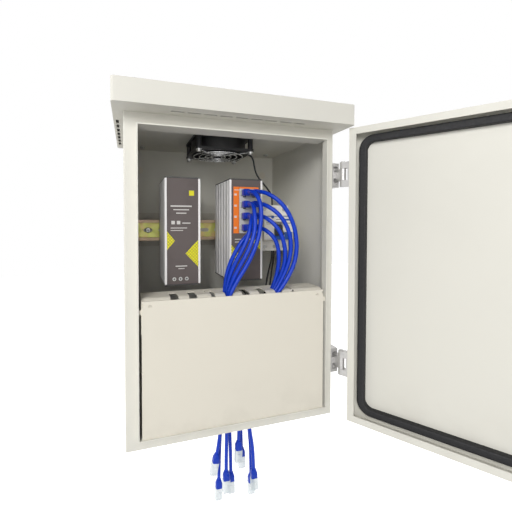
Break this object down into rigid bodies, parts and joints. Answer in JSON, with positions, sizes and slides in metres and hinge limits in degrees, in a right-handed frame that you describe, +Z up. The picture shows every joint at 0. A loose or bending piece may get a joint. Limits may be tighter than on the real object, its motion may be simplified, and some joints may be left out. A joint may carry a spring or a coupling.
{
  "type": "outdoor network equipment cabinet",
  "caption": "Wall-hung outdoor metal cabinet with hinged door, rain hood, ceiling fan, rail-mounted power supply, network switch and breaker, cable comb and patch leads.",
  "frame": {"origin": "centre of the four wall holes, on the outer face of the back wall", "axes": "+X to the right seen from the front, +Y into the cabinet towards the wall, +Z up; the front opening faces -Y"},
  "size_m": [0.5114, 0.4781, 0.6537],
  "materials": {
    "painted_body": "textured powder coat",
    "painted_inside": "textured powder coat",
    "gasket": "matte foam",
    "zinc": "zinc plated",
    "hinge": "die cast, satin",
    "lock": "chrome plated",
    "bracket": "powder coat",
    "rail": "yellow zinc",
    "housing": "anodised",
    "panel": "printed",
    "dark_plastic": "matte",
    "board": "circuit board",
    "breaker": "satin",
    "blue_plastic": "satin",
    "lead": "flexible jacket",
    "clear_plastic": "clear",
    "wire": "flexible jacket",
    "black_plastic": "matte",
    "guard": "bright wire",
    "copper": "satin"
  },
  "bodies": {
    "cabinet": {"cabinet_body": "painted_body", "rain_hood": "painted_body", "hood_screws": "zinc", "hinge_body_leaves": "hinge", "hinge_pins": "zinc", "hinge_body_screws": "zinc", "rail_bracket": "bracket", "bracket_nuts": "zinc", "din_rail": "rail", "rail_screws": "zinc", "psu_casing": "housing", "psu_front_panel": "panel", "psu_end_caps": "dark_plastic", "psu_terminal_screws": "zinc", "psu_rail_clip": "zinc", "psu_board": "board", "switch_casing": "housing", "switch_front_panel": "panel", "switch_port_block": "black_plastic", "switch_end_caps": "dark_plastic", "switch_rail_clip": "zinc", "switch_board": "board", "port_plugs": "clear_plastic", "field_plugs": "clear_plastic", "lead_boots": "lead", "breaker_body": "breaker", "breaker_terminal_screws": "zinc", "fan_frame": "black_plastic", "fan_guard": "guard", "fan_screws": "zinc", "fan_cable": "wire", "cable_comb": "painted_inside", "comb_screws": "zinc", "lower_cover": "painted_inside", "cable_grommet": "gasket", "terminal_block": "breaker", "earth_stud": "copper", "supply_wire_line": "wire", "supply_wire_neutral": "wire", "patch_lead_1": "lead", "patch_lead_2": "lead", "patch_lead_3": "lead", "patch_lead_4": "lead", "patch_lead_5": "lead", "patch_lead_6": "lead", "patch_lead_7": "lead", "patch_lead_8": "lead"},
    "door": {"door_shell": "painted_body", "door_gasket": "gasket", "hinge_door_leaves": "hinge", "hinge_door_screws": "zinc", "lock_body": "lock", "lock_nut": "zinc"},
    "lock": {"lock_spindle": "lock", "lock_cam": "zinc", "lock_cam_bolt": "zinc"},
    "impeller": {"fan_impeller": "black_plastic"},
    "toggle": {"breaker_toggle": "black_plastic"},
    "test_button": {"breaker_test_button": "blue_plastic"},
    "rail_latch": {"breaker_rail_latch": "black_plastic"}
  },
  "joints": [
    {"name": "door_hinge", "type": "hinge", "parent": "cabinet", "child": "door", "pos_m": [0.161, -0.219, 0], "axis": [0, 0, 1], "range_deg": [-125, 25]},
    {"name": "lock_turn", "type": "hinge", "parent": "door", "child": "lock", "pos_m": [0.31415, -0.43771, 0], "axis": [0.8192, 0.5736, 0], "range_deg": [0, 90]},
    {"name": "fan_spin", "type": "hinge", "parent": "cabinet", "child": "impeller", "pos_m": [-0.001, -0.11, 0.2], "axis": [0, 0, 1], "continuous": true},
    {"name": "toggle_turn", "type": "hinge", "parent": "cabinet", "child": "toggle", "pos_m": [0.101, -0.122, 0.067], "axis": [-1, 0, 0], "range_deg": [0, 90]},
    {"name": "test_button_press", "type": "slide", "parent": "cabinet", "child": "test_button", "axis": [0, 1, 0], "range_m": [0, 0.0012], "stiffness_N_per_m": 400},
    {"name": "latch_pull", "type": "slide", "parent": "cabinet", "child": "rail_latch", "axis": [0, 0, -1], "range_m": [0, 0.004], "stiffness_N_per_m": 800}
  ]
}
